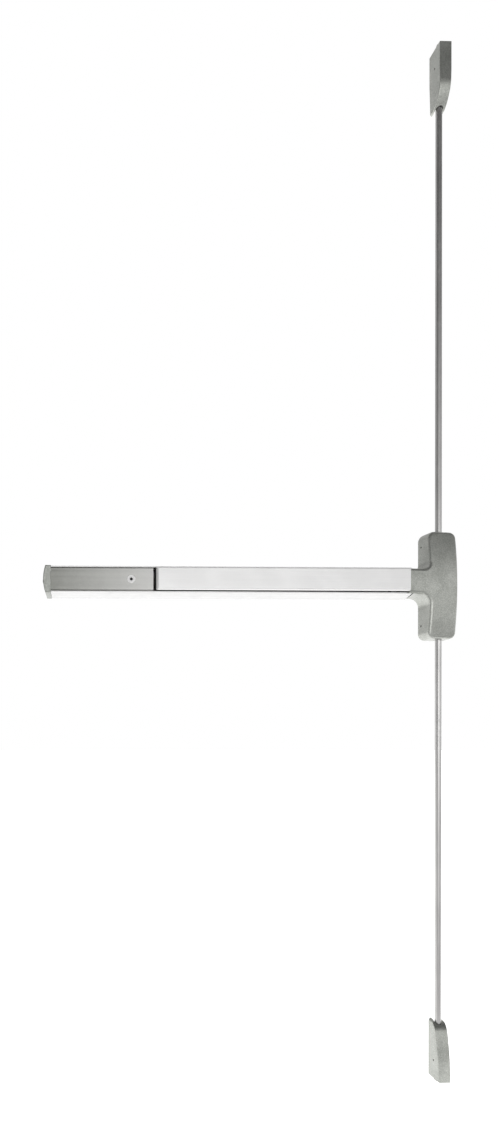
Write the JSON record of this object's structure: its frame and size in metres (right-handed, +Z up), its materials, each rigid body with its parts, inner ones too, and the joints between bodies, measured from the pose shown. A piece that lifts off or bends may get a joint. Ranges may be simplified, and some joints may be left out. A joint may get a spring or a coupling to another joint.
{
  "type": "panic exit bar",
  "caption": "Surface-mounted vertical-rod exit device: pressing the touchpad slides an actuator and swings levers that draw the top and bottom bolts out of their strikes.",
  "frame": {"origin": "on the door's face, where the axis of the vertical rods crosses the centreline of the horizontal bar, at the centre case's back", "axes": "+Z up along the rods, +Y into the door, -Y out towards the person pressing the bar, -X along the bar towards its dogging end"},
  "size_m": [0.8471, 0.064, 2.143],
  "materials": {
    "satin_cast": "cast zinc under a fine satin aluminium-coloured paint",
    "satin_aluminium": "satin extruded aluminium with a grain along the bar",
    "pad_skin": "smooth pale silver satin skin over a rolled sheet",
    "black_plastic": "matte black moulded plastic",
    "plated_steel": "zinc-plated pressed steel, slightly cloudy",
    "bright_steel": "drawn and polished bright steel",
    "dark_steel": "dark oiled steel, as on screws and springs"
  },
  "bodies": {
    "housing": {"bottom_bolt_keeper": "bright_steel", "bottom_latch_base": "plated_steel", "bottom_latch_cover": "satin_cast", "case_baseplate": "plated_steel", "case_cover": "satin_cast", "case_cover_screws": "dark_steel", "channel_cover": "satin_aluminium", "channel_screws": "dark_steel", "crank_pins": "bright_steel", "dogging_bracket": "plated_steel", "dogging_bushing": "bright_steel", "end_bracket": "plated_steel", "end_cap": "satin_cast", "end_cap_screw": "dark_steel", "far_crank_bracket": "plated_steel", "latch_cover_screws": "dark_steel", "lever_clips": "dark_steel", "lever_pivot_pins": "bright_steel", "lower_slide_guide": "black_plastic", "lower_slide_spring": "dark_steel", "mounting_channel": "satin_aluminium", "near_crank_bracket": "plated_steel", "splice_plate": "plated_steel", "top_bolt_keeper": "bright_steel", "top_latch_base": "plated_steel", "top_latch_cover": "satin_cast", "trigger_pin": "bright_steel", "upper_slide_guide": "black_plastic", "upper_slide_spring": "dark_steel"},
    "pad": {"touchpad": "pad_skin", "touchpad_end_cap": "pad_skin", "touchpad_plug": "black_plastic", "near_pad_carrier": "black_plastic", "far_pad_carrier": "black_plastic"},
    "near_crank": {"near_bell_crank": "plated_steel", "near_crank_roller_pin": "bright_steel"},
    "far_crank": {"far_bell_crank": "plated_steel", "far_crank_roller_pin": "bright_steel"},
    "actuator": {"actuator_bar": "plated_steel", "actuator_fork": "plated_steel", "fork_rivets": "bright_steel", "dogging_catch": "plated_steel"},
    "upper_lever": {"upper_transfer_lever": "plated_steel", "upper_lever_drive_pins": "bright_steel"},
    "lower_lever": {"lower_transfer_lever": "plated_steel", "lower_lever_drive_pins": "bright_steel"},
    "upper_rod_body": {"upper_rod_slide": "plated_steel", "upper_rod_locknut": "dark_steel", "upper_rod": "bright_steel", "top_bolt": "bright_steel", "top_bolt_pin": "bright_steel"},
    "lower_rod_body": {"lower_rod_slide": "plated_steel", "lower_rod_locknut": "dark_steel", "lower_rod": "bright_steel", "bottom_bolt": "bright_steel", "bottom_bolt_pin": "bright_steel"},
    "dogging": {"dogging_screw": "bright_steel", "dogging_cam": "plated_steel"},
    "trigger": {"latch_trigger": "satin_cast"}
  },
  "joints": [
    {"name": "pad_press", "type": "slide", "parent": "housing", "child": "pad", "axis": [0, 1, 0], "range_m": [0, 0.012], "stiffness_N_per_m": 1500, "springref_m": -0.005},
    {"name": "near_crank_turn", "type": "hinge", "parent": "housing", "child": "near_crank", "pos_m": [-0.15, -0.03, 0], "axis": [0, 0, 1], "range_deg": [0, 34.4]},
    {"name": "far_crank_turn", "type": "hinge", "parent": "housing", "child": "far_crank", "pos_m": [-0.52, -0.03, 0], "axis": [0, 0, 1], "range_deg": [0, 34.4]},
    {"name": "actuator_slide", "type": "slide", "parent": "housing", "child": "actuator", "axis": [-1, 0, 0], "range_m": [0, 0.00946]},
    {"name": "upper_lever_turn", "type": "hinge", "parent": "housing", "child": "upper_lever", "pos_m": [-0.022, -0.0215, 0.024], "axis": [0, 1, 0], "range_deg": [0, 34.4]},
    {"name": "lower_lever_turn", "type": "hinge", "parent": "housing", "child": "lower_lever", "pos_m": [-0.022, -0.0215, -0.024], "axis": [0, -1, 0], "range_deg": [0, 34.4]},
    {"name": "upper_rod_travel", "type": "slide", "parent": "housing", "child": "upper_rod_body", "axis": [0, 0, -1], "range_m": [0, 0.01301], "deforming": ["upper_slide_spring"]},
    {"name": "lower_rod_travel", "type": "slide", "parent": "housing", "child": "lower_rod_body", "axis": [0, 0, 1], "range_m": [0, 0.01301], "deforming": ["lower_slide_spring"]},
    {"name": "dogging_turn", "type": "hinge", "parent": "housing", "child": "dogging", "pos_m": [-0.641, -0.03, 0], "axis": [0, 1, 0], "range_deg": [0, 90]},
    {"name": "trigger_tilt", "type": "hinge", "parent": "housing", "child": "trigger", "pos_m": [0, -0.028, 1.078], "axis": [1, 0, 0], "range_deg": [0, 10], "stiffness_Nm_per_rad": 0.5}
  ],
  "couplings": [
    {"joint": "near_crank_turn", "follows": "pad_press", "rad_per_m": 50.03},
    {"joint": "far_crank_turn", "follows": "pad_press", "rad_per_m": 50.03},
    {"joint": "actuator_slide", "follows": "pad_press", "ratio": 0.7885},
    {"joint": "upper_lever_turn", "follows": "pad_press", "rad_per_m": 50.03},
    {"joint": "lower_lever_turn", "follows": "pad_press", "rad_per_m": 50.03},
    {"joint": "upper_rod_travel", "follows": "pad_press", "ratio": 1.0842},
    {"joint": "lower_rod_travel", "follows": "pad_press", "ratio": 1.0842}
  ]
}
